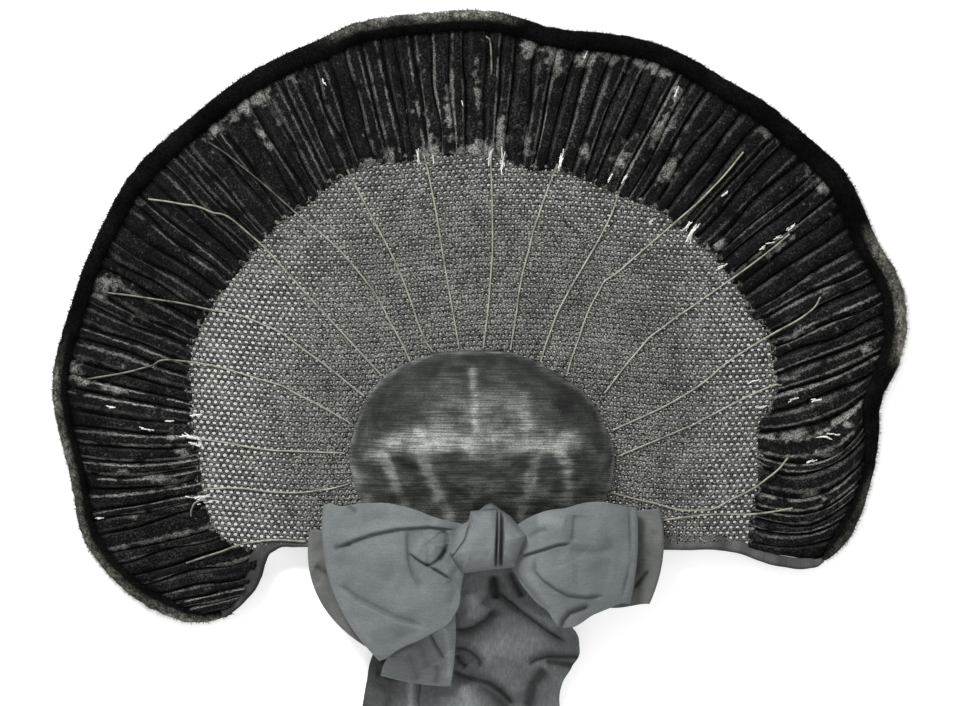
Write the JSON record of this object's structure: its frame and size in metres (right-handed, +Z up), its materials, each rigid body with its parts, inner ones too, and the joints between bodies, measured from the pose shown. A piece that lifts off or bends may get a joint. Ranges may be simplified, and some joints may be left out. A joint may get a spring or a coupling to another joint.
{
  "type": "folk costume bonnet",
  "caption": "Fan-shaped wheel bonnet lying crown up: velvet crown, see-through wired net, gathered band with plush roll, and a flat silk bow with tails.",
  "frame": {"origin": "middle of the plan, on the surface that the rim roll rests on", "axes": "+X across the wheel, to the wearer's right as seen from behind; +Y towards the top of the wheel; +Z up off the surface, the way the crown points"},
  "size_m": [0.4002, 0.3314, 0.06],
  "materials": {
    "crown_velvet": "worn dark velvet with a light crest",
    "plush": "black plush pile, worn grey-olive in places",
    "band_velvet": "black gathered velvet with worn grey fold crests",
    "net": "matt black net",
    "satin": "grey satin",
    "wire": "dull silvery brass",
    "silk": "blue-grey silk",
    "moire": "dark grey moire"
  },
  "bodies": {
    "root": {"crown": "crown_velvet", "rim_roll": "plush", "pleated_band": "band_velvet", "wheel_net": "net", "hem_binding": "satin", "spoke_wire_01": "wire", "spoke_wire_02": "wire", "spoke_wire_03": "wire", "spoke_wire_04": "wire", "spoke_wire_05": "wire", "spoke_wire_06": "wire", "spoke_wire_07": "wire", "spoke_wire_08": "wire", "spoke_wire_09": "wire", "spoke_wire_10": "wire", "spoke_wire_11": "wire", "spoke_wire_12": "wire", "spoke_wire_13": "wire", "spoke_wire_14": "wire", "spoke_wire_15": "wire", "spoke_wire_16": "wire", "spoke_wire_17": "wire", "spoke_wire_18": "wire", "bow_knot": "silk", "bow_loop_left": "silk", "bow_loop_right": "silk", "bow_back_loop_left": "silk", "bow_back_loop_right": "silk", "bow_tail_centre": "moire", "bow_tail_left": "moire", "bow_tail_short": "silk"}
  },
  "joints": []
}
